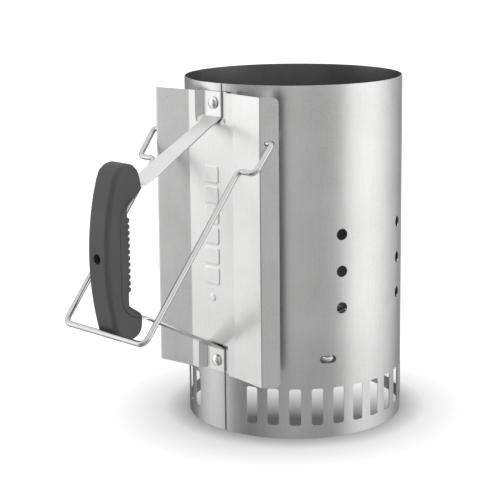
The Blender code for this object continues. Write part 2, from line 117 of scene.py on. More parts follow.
# Grip
GRIP_REACH = 226.85 * MM
GRIP_HALF_WIDTH = 12.05 * MM
GRIP_BOTTOM = -68.4 * MM
GRIP_BACK_RADIUS = (210 * MM, 225 * MM)
GRIP_ROUND = 4.8 * MM
PALM_REACH = 203 * MM
UPPER_LOBE = [
    (PALM_REACH, 38.6 * MM, 6 * MM),
    (187.7 * MM, 51.9 * MM, 5 * MM),
    (189.2 * MM, 61.0 * MM, 8 * MM),
    (191.5 * MM, 67.5 * MM, 8 * MM),
    (196.5 * MM, 72.4 * MM, 8 * MM),
    (202.5 * MM, 73.9 * MM, 8 * MM),
    (208.5 * MM, 72.8 * MM, 8 * MM),
    (214.4 * MM, 68.6 * MM, 7 * MM),
    (217.3 * MM, 62.0 * MM, 0),
]
LOWER_LOBE = [
    (PALM_REACH, -40.4 * MM, 4 * MM),
    (189.9 * MM, -49.2 * MM, 5 * MM),
    (190.4 * MM, GRIP_BOTTOM, 11 * MM),
]
BOTTOM_BACK_ROUND = 9 * MM
PARTING_REACH = 212.7 * MM
PARTING_TOP = (47.5 * MM, 20 * MM)
PARTING_BOTTOM = (-51.3 * MM, 20 * MM)
RIDGE_PITCH = 5.07 * MM
RIDGES = 12
RIDGE_MIDDLE = 1.2 * MM
RIDGE_REACH = 202 * MM
RIDGE_HALF_WIDTH = 11.6 * MM
RIDGE_DEPTH = 2.5 * MM

# Fasteners
RIVET_Z = 110.9 * MM
RIVET_SHANK = 2.2 * MM
RIVET_HEAD = 5.2 * MM
SCREW_HEAD = 3.7 * MM
SCREW_SHANK = 2 * MM
SCREW_SEAT = 217.3 * MM
SCREW_WELL = 4.2 * MM
SCREW_TIP = 204.4 * MM

# Bail
BAIL_WIRE = 4.6 * MM
PIVOT_REACH = 101.3 * MM
PIVOT_Z = 256.4 * MM
BAIL_ANGLE = math.radians(50.07)
BAIL_LENGTH = 188.05 * MM
BAIL_STUB_END = 58 * MM
BAIL_SHOULDER = 70.2 * MM
KINK_AT = 28.7 * MM
KINK_OUTER = 68.6 * MM
KINK_INNER = 50.1 * MM
BAR_HALF_WIDTH = 48.4 * MM
PIVOT_HOLE = 2.75 * MM
PIVOT_CUT = (61.8 * MM, 76 * MM)  # across, from inside the flange to outside it

# Camera and light
CAMERA_AZIMUTH = math.radians(43)
CAMERA_DISTANCE = 1.2551
CAMERA_ASIDE = -0.0082
CAMERA_HEIGHT = 0.4294
CAMERA_LENS = 103.443
CAMERA_SHIFT_Y = -0.15
CAMERA_YAW = 0.02425
CAMERA_PITCH = 0.17278
CAMERA_ROLL = -0.00977


def place(across, reach, z):
    return Vector((across, AXIS_Y - reach, z))


def on_barrel(angle, radius, z):
    turn = math.radians(angle)
    return place(radius * math.sin(turn), radius * math.cos(turn), z)


def smooth_step(value, low, high):
    t = min(1, max(0, (value - low) / (high - low)))
    return t * t * (3 - 2 * t)


# Materials -----------------------------------------------------------------------------------


class Nodes:
    """A short way to wire up one material's nodes."""

    def __init__(self, name):
        self.material = bpy.data.materials.new(name)
        self.material.use_nodes = True
        self.tree = self.material.node_tree
        self.shader = self.tree.nodes["Principled BSDF"]
        self.place = self.add("ShaderNodeTexCoord").outputs["Object"]

    def add(self, kind, **settings):
        node = self.tree.nodes.new(kind)
        for key, value in settings.items():
            setattr(node, key, value)
        return node

    def link(self, source, target):
        self.tree.links.new(source, target)

    def noise(self, scale, stretch=(1, 1, 1), detail=3, rough=0.5):
        mapping = self.add("ShaderNodeMapping")
        mapping.inputs["Scale"].default_value = stretch
        noise = self.add("ShaderNodeTexNoise")
        noise.inputs["Scale"].default_value = scale
        noise.inputs["Detail"].default_value = detail
        noise.inputs["Roughness"].default_value = rough
        self.link(self.place, mapping.inputs["Vector"])
        self.link(mapping.outputs["Vector"], noise.inputs["Vector"])
        return noise.outputs["Fac"]

    def remap(self, source, low, high, to_low, to_high):
        node = self.add("ShaderNodeMapRange")
        for key, value in zip(("From Min", "From Max", "To Min", "To Max"),
                              (low, high, to_low, to_high)):
            node.inputs[key].default_value = value
        self.link(source, node.inputs["Value"])
        return node.outputs["Result"]

    def maths(self, operation, first, second):
        node = self.add("ShaderNodeMath", operation=operation)
        for socket, value in zip(node.inputs, (first, second)):
            if hasattr(value, "is_linked"):
                self.link(value, socket)
            else:
                socket.default_value = value
        return node.outputs["Value"]

    def tint(self, factor, dark, light):
        node = self.add("ShaderNodeMix", data_type="RGBA")
        node.inputs[6].default_value = (*dark, 1)
        node.inputs[7].default_value = (*light, 1)
        self.link(factor, node.inputs[0])
        return node.outputs[2]

    def darker_below(self, colour, shade, height):
        """Scales a colour down towards the ground: painted shade, to match the photo's darker foot.
        """
        parts = self.add("ShaderNodeSeparateXYZ")
        self.link(self.place, parts.inputs["Vector"])
        level = self.remap(parts.outputs["Z"], 0, height, shade, 1)
        node = self.add("ShaderNodeVectorMath", operation="SCALE")
        self.link(colour, node.inputs[0])
        self.link(level, node.inputs["Scale"])
        return node.outputs["Vector"]

    def bump(self, height, distance, strength=1.0):
        node = self.add("ShaderNodeBump")
        node.inputs["Strength"].default_value = strength
        node.inputs["Distance"].default_value = distance
        self.link(height, node.inputs["Height"])
        self.link(node.outputs["Normal"], self.shader.inputs["Normal"])


def sheet_steel(name, tone=1.0, roughness=(0.26, 0.36), low_shade=1.0):
    """Sheet steel: a fine grain with faint upright streaks and slow, cloudy variation."""
    n = Nodes(name)
    grain = n.noise(1400, detail=4, rough=0.65)
    lines = n.noise(1, stretch=(900, 900, 30), detail=3)
    cloud = n.noise(26, detail=3)
    mixed = n.maths("ADD", n.maths("MULTIPLY", grain, 0.6), n.maths("MULTIPLY", lines, 0.15))
    mixed = n.maths("ADD", mixed, n.maths("MULTIPLY", cloud, 0.25))
    factor = n.remap(mixed, 0.38, 0.62, 0, 1)
    dark = [tone * c for c in (0.60, 0.60, 0.595)]
    light = [min(1, tone * c) for c in (0.76, 0.76, 0.755)]
    colour = n.tint(factor, dark, light)
    # Painted shade: the colour darkens towards the ground when low_shade is below 1
    if low_shade < 1:
        colour = n.darker_below(colour, low_shade, 100 * MM)
    n.link(colour, n.shader.inputs["Base Color"])
    n.link(n.remap(mixed, 0.35, 0.65, *roughness), n.shader.inputs["Roughness"])
    n.shader.inputs["Metallic"].default_value = 1
    n.bump(mixed, 0.00004, 0.35)
    return n.material


def bright_metal(name, colour, roughness):
    """Wire, fasteners and welds: a plain metal with a fine, faint mottle."""
    n = Nodes(name)
    marks = n.noise(700, detail=3)
    cloud = n.noise(90, detail=2)
    mixed = n.maths("ADD", n.maths("MULTIPLY", marks, 0.6), n.maths("MULTIPLY", cloud, 0.4))
    factor = n.remap(mixed, 0.35, 0.65, 0, 1)
    dark = [c * 0.92 for c in colour]
    n.link(n.tint(factor, dark, colour), n.shader.inputs["Base Color"])
    n.link(n.remap(mixed, 0.35, 0.65, *roughness), n.shader.inputs["Roughness"])
    n.shader.inputs["Metallic"].default_value = 1
    n.bump(mixed, 0.00003, 0.3)
    return n.material


def moulded_plastic(name):
    """The grip's plastic: nearly black, with a fine matt grain."""
    n = Nodes(name)
    grain = n.noise(1600, detail=3, rough=0.6)
    cloud = n.noise(35, detail=2)
    factor = n.remap(n.maths("ADD", n.maths("MULTIPLY", grain, 0.6),
                             n.maths("MULTIPLY", cloud, 0.4)), 0.35, 0.65, 0, 1)
    n.link(n.tint(factor, (0.04, 0.04, 0.041), (0.056, 0.056, 0.057)),
           n.shader.inputs["Base Color"])
    n.link(n.remap(grain, 0.3, 0.7, 0.4, 0.54), n.shader.inputs["Roughness"])
    n.shader.inputs["Specular IOR Level"].default_value = 0.5
    n.bump(grain, 0.00008, 0.5)
    return n.material


# Geometry helpers ----------------------------------------------------------------------------


def add_object(name, data, finish=None):
    made = bpy.data.objects.new(name, data)
    bpy.context.scene.collection.objects.link(made)
    if finish:
        data.materials.append(finish)
    return made


def mesh_from(bm, name):
    bmesh.ops.recalc_face_normals(bm, faces=bm.faces)
    mesh = bpy.data.meshes.new(name)
    bm.to_mesh(mesh)
    bm.free()
    return mesh


def freeze(obj, sharp_angle=30):
    """Applies an object's modifiers, then shades it smooth between its sharp edges."""
    bpy.context.view_layer.update()
    graph = bpy.context.evaluated_depsgraph_get()
    mesh = bpy.data.meshes.new_from_object(obj.evaluated_get(graph), depsgraph=graph)
    name = obj.name
    matrix = obj.matrix_world.copy()
    bpy.data.objects.remove(obj)
    made = add_object(name, mesh)
    made.matrix_world = matrix
    bm = bmesh.new()
    bm.from_mesh(mesh)
    bmesh.ops.remove_doubles(bm, verts=bm.verts, dist=0.002 * MM)
    bmesh.ops.recalc_face_normals(bm, faces=bm.faces)
    bm.to_mesh(mesh)
    bm.free()
    mesh.shade_smooth()
    mesh.set_sharp_from_angle(angle=math.radians(sharp_angle))
    mesh.name = name
    weighted = made.modifiers.new("normals", "WEIGHTED_NORMAL")
    weighted.keep_sharp = True
    return made


def boolean(obj, other, operation="DIFFERENCE"):
    made = obj.modifiers.new(other.name, "BOOLEAN")
    made.operation = operation
    made.solver = "EXACT"
    made.object = other


def add_bevel(obj, width, segments, angle=40):
    made = obj.modifiers.new("edges", "BEVEL")
    made.width = width
    made.segments = segments
    made.limit_method = "ANGLE"
    made.angle_limit = math.radians(angle)
    return made


def add_prism(bm, near, far):
    rings = [[bm.verts.new(p) for p in ring] for ring in (near, far)]
    count = len(near)
    for i in range(count):
        j = (i + 1) % count
        bm.faces.new((rings[0][i], rings[0][j], rings[1][j], rings[1][i]))
    bm.faces.new(reversed(rings[0]))
    bm.faces.new(rings[1])


def circle_points(radius, count):
    turns = [2 * math.pi * i / count for i in range(count)]
    return [(radius * math.cos(turn), radius * math.sin(turn)) for turn in turns]


def rounded_corner(before, corner, after, radius, steps):
    back = (before - corner).normalized()
    ahead = (after - corner).normalized()
    half = back.angle(ahead) / 2
    tangent = radius / math.tan(half)
    centre = corner + (back + ahead).normalized() * (radius / math.sin(half))
    start = corner + back * tangent - centre
    end = corner + ahead * tangent - centre
    arc = [start.slerp(end, i / steps).normalized() for i in range(steps + 1)]
    return [centre + spoke * radius for spoke in arc]


def rounded_path(corners, steps=5, closed=False):
    points = []
    count = len(corners)
    for i, (corner, radius) in enumerate(corners):
        if radius == 0 or (not closed and i in (0, count - 1)):
            points.append(corner)
            continue
        before = corners[i - 1][0]
        after = corners[(i + 1) % count][0]
        points += rounded_corner(before, corner, after, radius, steps)
    return points


def rounded_slot(width, height, radius, steps=8):
    corners = [(width / 2, height / 2), (-width / 2, height / 2)]
    corners += [(-width / 2, -height / 2), (width / 2, -height / 2)]
    path = rounded_path([(Vector((x, y, 0)), radius) for x, y in corners], steps, closed=True)
    return [(p.x, p.y) for p in path]


def add_radial_cut(bm, outline, angle, z):
    turn = math.radians(angle)
    across = Vector((math.cos(turn), math.sin(turn), 0))
    rings = []
    for radius in (BARREL_RADIUS - 6 * MM, BARREL_RADIUS + 4 * MM):
        centre = on_barrel(angle, radius, z)
        rings.append([centre + across * x + Vector((0, 0, y)) for x, y in outline])
    add_prism(bm, *rings)


def add_reach_cut(bm, outline, z, near, far):
    rings = [[place(x, reach, z + y) for x, y in outline] for reach in (near, far)]
    add_prism(bm, *rings)


def add_tube(name, points, diameter, finish, closed=False, sides=7):
    curve = bpy.data.curves.new(name, "CURVE")
    curve.dimensions = "3D"
    curve.bevel_depth = diameter / 2
    curve.bevel_resolution = sides
    curve.use_fill_caps = not closed
    spline = curve.splines.new("POLY")
    spline.points.add(len(points) - 1)
    for target, point in zip(spline.points, points):
        target.co = (*point, 1)
    spline.use_cyclic_u = closed
    return freeze(add_object(name, curve, finish), 40)


def spun_mesh(name, profile, centre, direction, steps=56):
    bm = bmesh.new()
    verts = [bm.verts.new((radius, 0, along)) for radius, along in profile]
    edges = [bm.edges.new(pair) for pair in zip(verts, verts[1:])]
    bmesh.ops.spin(
        bm, geom=verts + edges, cent=(0, 0, 0), axis=(0, 0, 1), angle=2 * math.pi, steps=steps,
    )
    bmesh.ops.remove_doubles(bm, verts=bm.verts, dist=0.001 * MM)
    turn = direction.to_track_quat("Z", "Y").to_matrix().to_4x4()
    bm.transform(Matrix.Translation(centre) @ turn)
    return mesh_from(bm, name)


def fit(piece, body, slot, *nodes):
    """The piece rides on a body and stands for CAD nodes; its slot is not used."""
    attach(piece, body)
    if nodes:
        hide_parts(*nodes)
    return piece


def discard(*objects):
    for obj in objects:
        bpy.data.objects.remove(obj)


# Barrel --------------------------------------------------------------------------------------


def build_barrel(finish, shaded_inside_finish):
    inner = BARREL_RADIUS - SHEET - GAP
    start, end = LAP_RAMP
    stations = []
    for angle in range(LAP_INNER_END, 364):
        drawn_in = min(1, max(0, (end - angle) / (end - start)))
        stations.append((angle, BARREL_RADIUS - (BARREL_RADIUS - inner) * drawn_in))
    stations.append((360 + LAP_EDGE, BARREL_RADIUS))
    heights = [0, 30 * MM, 60 * MM, 150 * MM, 240 * MM, BARREL_HEIGHT]
    bm = bmesh.new()
    columns = [[bm.verts.new(on_barrel(a, r, z)) for z in heights] for a, r in stations]
    for a, b in zip(columns, columns[1:]):
        for i in range(len(heights) - 1):
            bm.faces.new((a[i], b[i], b[i + 1], a[i + 1]))
    mesh = bpy.data.meshes.new("barrel_sheet")
    bm.to_mesh(mesh)
    bm.free()
    barrel = add_object("barrel_sheet", mesh, finish)
    sheet = barrel.modifiers.new("sheet", "SOLIDIFY")
    sheet.thickness = SHEET
    sheet.offset = -1
    add_bevel(barrel, 0.12 * MM, 2, 60)

    bm = bmesh.new()
    z_low, z_high = DRAFT_SLOT_Z
    slot = rounded_slot(DRAFT_SLOT_WIDTH, z_high - z_low, DRAFT_SLOT_CORNER)
    spread = 360 - 2 * FIRST_DRAFT_SLOT
    for i in range(DRAFT_SLOTS):
        angle = FIRST_DRAFT_SLOT + spread * i / (DRAFT_SLOTS - 1)
        add_radial_cut(bm, slot, angle, (z_low + z_high) / 2)
    for column in range(8):
        for z in VENT_HEIGHTS:
            add_radial_cut(bm, circle_points(VENT_DIAMETER / 2, 48), 22.5 + 45 * column, z)
    grate_slot = rounded_slot(*GRATE_SLOT, GRATE_SLOT[1] / 2 - 0.1 * MM)
    for angle in GRATE_ANGLES:
        add_radial_cut(bm, grate_slot, angle, GRATE_Z)
    for side in (1, -1):
        hole = circle_points(RIVET_SHANK + GAP, 32)
        add_radial_cut(bm, hole, 0, MIDDLE_Z + side * RIVET_Z)
    cuts = add_object("barrel_cuts", mesh_from(bm, "barrel_cuts"))
    boolean(barrel, cuts)
    barrel = freeze(barrel, 25)
    discard(cuts)
    # The inward faces take the darker inside steel, which is painted shade
    barrel.data.materials.append(shaded_inside_finish)
    for face in barrel.data.polygons:
        outward = face.center - Vector((0, AXIS_Y, face.center.z))
        if outward.dot(face.normal) < -0.5 * outward.length:
            face.material_index = 1
    fit(barrel, "starter", "sheet_steel", "barrel")


# Cone grate ----------------------------------------------------------------------------------


def cone_z(radius):
    return GRATE_Z + GRATE_RISE * (GRATE_TIP - radius)


def build_grate(finish, weld_finish):
    for i, angle in enumerate(GRATE_ANGLES):
        turn = math.radians(angle)
        across = Vector((math.cos(turn), math.sin(turn), 0))
        bend = GRATE_TIP - HAIRPIN_HALF_WIDTH
        path = [(-HAIRPIN_HALF_WIDTH, GRATE_TOP)]
        for k in range(25):
            a = math.pi * k / 24
            offset = -HAIRPIN_HALF_WIDTH * math.cos(a)
            path.append((offset, bend + HAIRPIN_HALF_WIDTH * math.sin(a)))
        path.append((HAIRPIN_HALF_WIDTH, GRATE_TOP))
        points = [on_barrel(angle, r, cone_z(r)) + across * x for x, r in path]
        name = f"grate_hairpin_{i + 1}"
        fit(add_tube(name + "_wire", points, GRATE_WIRE, finish), "starter", "plated_wire", name)
    drop = (GRATE_WIRE + GAP) * math.hypot(1, GRATE_RISE)
    for i, radius in enumerate(RING_RADII):
        steps = 48 + 28 * i
        z = cone_z(radius) - drop
        ring = [on_barrel(360 * k / steps, radius, z) for k in range(steps)]
        name = f"grate_ring_{i + 1}"
        wire = add_tube(name + "_wire", ring, GRATE_WIRE, finish, closed=True)
        fit(wire, "starter", "plated_wire", name)

    bm = bmesh.new()
    for angle in GRATE_ANGLES:
        turn = math.radians(angle)
        across = Vector((math.cos(turn), math.sin(turn), 0))
        for radius in RING_RADII:
            z = cone_z(radius) - drop / 2
            for side in (-1, 1):
                centre = on_barrel(angle, radius, z) + across * HAIRPIN_HALF_WIDTH * side
                shape = Matrix.Diagonal((1.5 * MM, 1.5 * MM, 1.1 * MM, 1))
                bmesh.ops.create_uvsphere(
                    bm, u_segments=16, v_segments=10, radius=1,
                    matrix=Matrix.Translation(centre) @ shape,
                )
    welds = freeze(add_object("grate_welds", mesh_from(bm, "grate_welds"), weld_finish), 60)
    fit(welds, "starter", "plated_wire")


# Heat shield ---------------------------------------------------------------------------------


def shield_section():
    """(across, reach) points of the shield's folded section, from one edge to the other."""
    corners = [
        (Vector((0, SHIELD_REACH, 0)), 0),
        (Vector((SHIELD_FOLD, SHIELD_REACH, 0)), 9 * MM),
        (Vector((*SHIELD_CORNER, 0)), 2.2 * MM),
        (Vector((*SHIELD_EDGE, 0)), 0),
    ]
    bends = rounded_path(corners, 6)
    path = [bends[0]]
    for point in bends[1:]:
        span = point - path[-1]
        start = path[-1]
        pitch = FINE_GRID if start.x < PADDED[0] else PLAIN_GRID
        cuts = max(1, math.ceil(span.length / pitch))
        path += [start + span * (i / cuts) for i in range(1, cuts + 1)]
    half = [(p.x, p.y) for p in path]
    return [(-x, reach) for x, reach in reversed(half[1:])] + half


def pad_height(across, z):
    """Shallow pressed pads, stacked down the middle panel, with a small round one below them."""
    total = 0
    for i in range(PADS):
        dx = max(0, abs(across) - PAD_CORE[0])
        dz = max(0, abs(z - PAD_TOP_Z + PAD_PITCH * i) - PAD_CORE[1])
        total += 1 - smooth_step(math.hypot(dx, dz), *PAD_EDGE)
    total += 1 - smooth_step(math.hypot(across, z - ROUND_PAD_Z), *ROUND_PAD_EDGE)
    return total * PAD_RISE


def shield_heights():
    """Row heights above MIDDLE_Z, closer together where the pads are."""
    half = [0]
    while half[-1] < SHIELD_HALF_HEIGHT - PLAIN_GRID:
        half.append(half[-1] + (FINE_GRID if half[-1] < PADDED[1] else PLAIN_GRID))
    half.append(SHIELD_HALF_HEIGHT)
    return [-z for z in reversed(half[1:])] + half


def build_shield(finish):
    floor_reach = BARREL_RADIUS + GAP + SHEET
    floor_end = SHIELD_HALF_HEIGHT - POCKET_LENGTH
    bm = bmesh.new()
    grid = []
    section = shield_section()
    for z in shield_heights():
        row = []
        for across, reach in section:
            side = 1 - smooth_step(abs(across), POCKET_FLOOR, POCKET_RIM)
            depth = smooth_step(abs(z), floor_end - POCKET_RAMP, floor_end)
            reach -= (reach - floor_reach) * side * depth
            if abs(across) < PADDED[0] and abs(z) < PADDED[1]:
                reach += pad_height(across, z)
            row.append(bm.verts.new(place(across, reach, MIDDLE_Z + z)))
        grid.append(row)
    for low, high in zip(grid, grid[1:]):
        for i in range(len(low) - 1):
            bm.faces.new((low[i], low[i + 1], high[i + 1], high[i]))
    mesh = bpy.data.meshes.new("shield_sheet")
    bm.to_mesh(mesh)
    bm.free()
    shield = add_object("shield_sheet", mesh, finish)
    sheet = shield.modifiers.new("sheet", "SOLIDIFY")
    sheet.thickness = SHEET
    sheet.offset = -1

    bm = bmesh.new()
    hole = circle_points(RIVET_SHANK + GAP, 32)
    for side in (1, -1):
        add_reach_cut(bm, hole, MIDDLE_Z + side * RIVET_Z, 90 * MM, 108 * MM)
    for side in (1, -1):
        rings = []
        for across in PIVOT_CUT:
            ring = circle_points(PIVOT_HOLE, 40)
            rings.append([place(side * across, PIVOT_REACH + x, PIVOT_Z + z) for x, z in ring])
        add_prism(bm, *rings)
    # The flanges' outer corners are rounded off
    edge_across, edge_reach = SHIELD_EDGE
    slope = Vector((edge_across - SHIELD_CORNER[0], edge_reach - SHIELD_CORNER[1], 0)).normalized()
    outward = Vector((-slope.y, slope.x, 0))
    radius = FLANGE_ROUND
    for side in (1, -1):
        for end in (1, -1):
            shape = [(radius + 1 * MM, radius + 1 * MM), (radius + 1 * MM, 0), (radius, 0)]
            for k in range(1, 9):
                a = math.pi / 2 * k / 8
                shape.append((radius * math.cos(a), radius * math.sin(a)))
            shape.append((0, radius + 1 * MM))
            rings = []
            for lift in (-4 * MM, 4 * MM):
                ring = []
                for along, up in shape:
                    flat = Vector((edge_across, edge_reach, 0)) + slope * (along - radius)
                    flat += outward * lift
                    z = MIDDLE_Z + end * (SHIELD_HALF_HEIGHT - radius + up)
                    ring.append(place(side * flat.x, flat.y, z))
                rings.append(ring)
            add_prism(bm, *rings)
    cuts = add_object("shield_cuts", mesh_from(bm, "shield_cuts"))
    boolean(shield, cuts)
    shield = freeze(shield, 35)
    discard(cuts)
    fit(shield, "starter", "sheet_steel", "heat_shield")


# Strap ---------------------------------------------------------------------------------------


def strap_corners():
    arm_end = TAB_REACH + (FOLD_Z - ARM_END_Z) / ARM_SLOPE
    half = [
        ((TAB_REACH, SHIELD_HALF_HEIGHT), 0),
        ((TAB_REACH, FOLD_Z), 3 * MM),
        ((arm_end, ARM_END_Z), 20 * MM),
        ((STRAP_RUN_REACH, ARM_END_Z), 9 * MM),
    ]
    return half + [((reach, -z), radius) for (reach, z), radius in reversed(half)]


def strap_width(reach):
    start = TAB_REACH + 1 * MM
    grown = smooth_step(reach, start, 165 * MM) * (ARM_WIDTH - TAB_WIDTH)
    shrunk = smooth_step(reach, 187 * MM, 198 * MM) * (ARM_WIDTH - HIDDEN_WIDTH)
    return TAB_WIDTH + grown - shrunk


def strap_mesh(name, extra):
    corners = [(Vector((reach, z, 0)), radius) for (reach, z), radius in strap_corners()]
    bends = rounded_path(corners, steps=14)
    path = [bends[0]]
    for point in bends[1:]:
        start = path[-1]
        span = point - start
        cuts = max(1, round(span.length / (6 * MM)))
        path += [start + span * (i / cuts) for i in range(1, cuts + 1)]
    if extra:
        path[0] = path[0] + (path[0] - path[1]).normalized() * extra
        path[-1] = path[-1] + (path[-1] - path[-2]).normalized() * extra
    half_thick = STRAP / 2 + extra
    bm = bmesh.new()
    sections = []
    for i, point in enumerate(path):
        ahead = path[min(i + 1, len(path) - 1)] - point
        behind = point - path[max(i - 1, 0)]
        along = (ahead.normalized() + behind.normalized()).normalized()
        normal = Vector((-along.y, along.x, 0)) * half_thick
        half_width = strap_width(point.x) / 2 + extra
        section = []
        for side, face in ((-1, -1), (1, -1), (1, 1), (-1, 1)):
            spot = point + normal * face
            section.append(bm.verts.new(place(side * half_width, spot.x, MIDDLE_Z + spot.y)))
        sections.append(section)
    for a, b in zip(sections, sections[1:]):
        for i in range(4):
            j = (i + 1) % 4
            bm.faces.new((a[i], a[j], b[j], b[i]))
    bm.faces.new(reversed(sections[0]))
    bm.faces.new(sections[-1])
    return mesh_from(bm, name)


def build_strap(finish):
    strap = add_object("strap_bar", strap_mesh("strap_bar", 0), finish)
    add_bevel(strap, 0.35 * MM, 3, 60)
    bm = bmesh.new()
    for z, reach, shank in (
        (MIDDLE_Z + RIVET_Z, TAB_REACH, RIVET_SHANK),
        (MIDDLE_Z - RIVET_Z, TAB_REACH, RIVET_SHANK),
        (MIDDLE_Z, STRAP_RUN_REACH, SCREW_SHANK),
    ):
        add_reach_cut(bm, circle_points(shank + GAP, 32), z, reach - 3 * MM, reach + 3 * MM)
    cuts = add_object("strap_cuts", mesh_from(bm, "strap_cuts"))
    boolean(strap, cuts)
    strap = freeze(strap, 35)
    discard(cuts)
    fit(strap, "starter", "sheet_steel", "handle_strap")


# Grip ----------------------------------------------------------------------------------------


def back_reach(z):
    radius = GRIP_BACK_RADIUS[0 if z > 0 else 1]
    return GRIP_REACH - radius + math.sqrt(radius**2 - z**2)


def grip_outline():
    corners = list(UPPER_LOBE)
    corners += [(back_reach(z), z, 0) for z in [(52 - 3 * i) * MM for i in range(37)]]
    corners.append((back_reach(GRIP_BOTTOM), GRIP_BOTTOM, BOTTOM_BACK_ROUND))
    corners += reversed(LOWER_LOBE)
    return rounded_path([(Vector((r, z, 0)), radius) for r, z, radius in corners], 10, closed=True)


def parting_outline(extra):
    reach = PARTING_REACH + extra
    top, top_radius = PARTING_TOP
    bottom, bottom_radius = PARTING_BOTTOM
    corners = [
        (180 * MM, bottom - extra, 0),
        (180 * MM, top + extra, 0),
        (reach, top + extra, top_radius),
        (reach, bottom - extra, bottom_radius),
    ]
    return rounded_path([(Vector((r, z, 0)), radius) for r, z, radius in corners], 16, closed=True)


def side_prism(name, outline, half_width):
    bm = bmesh.new()
    sides = []
    for x in (-half_width, half_width):
        sides.append([place(x, p.x, MIDDLE_Z + p.y) for p in outline])
    add_prism(bm, *sides)
    return add_object(name, mesh_from(bm, name))


def grip_body(name, finish):
    body = side_prism(name, grip_outline(), GRIP_HALF_WIDTH)
    body.data.materials.append(finish)
    add_bevel(body, GRIP_ROUND, 8, 60)
    return body


def ridge_block():
    """Carries the ridges straight out to the insert's sides, past its rounded edges."""
    half = RIDGES * RIDGE_PITCH / 2
    low, high = RIDGE_MIDDLE - half, RIDGE_MIDDLE + half
    corners = ((RIDGE_REACH, low), (208 * MM, low), (208 * MM, high), (RIDGE_REACH, high))
    outline = [Vector((reach, z, 0)) for reach, z in corners]
    block = side_prism("ridge_block", outline, RIDGE_HALF_WIDTH)
    add_bevel(block, 0.8 * MM, 4, 60)
    return block


def ridge_cutter():
    """Everything in front of the palm's row of rounded teeth."""
    end = RIDGES * RIDGE_PITCH / 2
    half = end + 0.3 * RIDGE_PITCH
    points = [Vector((185 * MM, RIDGE_MIDDLE - half, 0))]
    steps = (RIDGES + 1) * 12
    for i in range(steps + 1):
        z = -half + 2 * half * i / steps
        tooth = abs(math.sin(math.pi * (z + end) / RIDGE_PITCH))
        if abs(z) > end:
            tooth = 0.6 * smooth_step(abs(z), end, half)
        reach = RIDGE_REACH + RIDGE_DEPTH * (1 - tooth) - 0.02 * MM
        points.append(Vector((reach, RIDGE_MIDDLE + z, 0)))
    points.append(Vector((185 * MM, RIDGE_MIDDLE + half, 0)))
    return side_prism("ridge_cutter", points, GRIP_HALF_WIDTH + 2 * MM)


def build_grip(finish):
    profile = [
        (0, SCREW_TIP - 1 * MM),
        (SCREW_SHANK + GAP, SCREW_TIP - 1 * MM),
        (SCREW_SHANK + GAP, SCREW_SEAT),
        (SCREW_WELL, SCREW_SEAT),
        (SCREW_WELL, GRIP_REACH + 5 * MM),
        (0, GRIP_REACH + 5 * MM),
    ]
    away = Vector((0, -1, 0))
    well = add_object("well", spun_mesh("well", profile, place(0, 0, MIDDLE_Z), away))
    strap_room = add_object("strap_room", strap_mesh("strap_room", GAP))
    deep = GRIP_HALF_WIDTH + 3 * MM
    insert_room = side_prism("insert_room", parting_outline(0), deep)
    insert_limit = side_prism("insert_limit", parting_outline(-GAP), deep)
    block = ridge_block()
    ridges = ridge_cutter()

    cover = grip_body("grip_cover_shell", finish)
    for cutter in (insert_room, strap_room, well):
        boolean(cover, cutter)
    cover = freeze(cover, 35)
    insert = grip_body("grip_insert_shell", finish)
    boolean(insert, insert_limit, "INTERSECT")
    boolean(insert, block, "UNION")
    for cutter in (strap_room, well, ridges):
        boolean(insert, cutter)
    insert = freeze(insert, 35)
    discard(well, strap_room, insert_room, insert_limit, block, ridges)
    fit(cover, "starter", "grip_plastic", "grip_cover")
    fit(insert, "starter", "grip_plastic", "grip_insert")


# Fasteners -----------------------------------------------------------------------------------


def build_fasteners(finish):
    tail_reach = BARREL_RADIUS - 2 * SHEET - 2 * GAP
    head_reach = TAB_REACH + STRAP / 2 + GAP
    dome = []
    for i in range(13):
        turn = math.pi / 2 * i / 12
        rise = (0.4 + 2.0 * math.sin(turn)) * MM
        dome.append((RIVET_HEAD * math.cos(turn), head_reach + rise))
    profile = [
        (0, tail_reach - 1.6 * MM),
        (2.6 * MM, tail_reach - 1.6 * MM),
        (3.2 * MM, tail_reach - 1.3 * MM),
        (3.6 * MM, tail_reach),
        (RIVET_SHANK, tail_reach),
        (RIVET_SHANK, head_reach),
        (RIVET_HEAD - 0.1 * MM, head_reach),
        *dome[:-1],
        (0, dome[-1][1]),
    ]
    away = Vector((0, -1, 0))
    for name, side in (("upper_rivet", 1), ("lower_rivet", -1)):
        mesh = spun_mesh(name + "_head", profile, place(0, 0, MIDDLE_Z + side * RIVET_Z), away)
        rivet = freeze(add_object(name + "_head", mesh, finish), 40)
        fit(rivet, "starter", "plated_wire", name)

    head_start = SCREW_SEAT + GAP
    screw_profile = [
        (0, SCREW_TIP),
        (SCREW_SHANK * 0.5, SCREW_TIP),
        (SCREW_SHANK, SCREW_TIP + 2 * MM),
        (SCREW_SHANK, head_start),
        (SCREW_HEAD, head_start),
        (SCREW_HEAD, head_start + 1.2 * MM),
        (SCREW_HEAD * 0.85, head_start + 1.9 * MM),
        (SCREW_HEAD * 0.5, head_start + 2.3 * MM),
        (0, head_start + 2.4 * MM),
    ]
    mesh = spun_mesh("grip_screw_head", screw_profile, place(0, 0, MIDDLE_Z), away)
    screw = add_object("grip_screw_head", mesh, finish)
    bm = bmesh.new()
    arm, half = 2.2 * MM, 0.45 * MM
    cross = [(arm, -half), (arm, half), (half, half), (half, arm), (-half, arm), (-half, half)]
    cross += [(-arm, half), (-arm, -half), (-half, -half), (-half, -arm), (half, -arm)]
    cross.append((half, -half))
    add_reach_cut(bm, cross, MIDDLE_Z, head_start + 0.9 * MM, head_start + 4 * MM)
    cuts = add_object("screw_cuts", mesh_from(bm, "screw_cuts"))
    boolean(screw, cuts)
    screw = freeze(screw, 35)
    discard(cuts)
    fit(screw, "starter", "plated_wire", "grip_screw")


# Bail ----------------------------------------------------------------------------------------


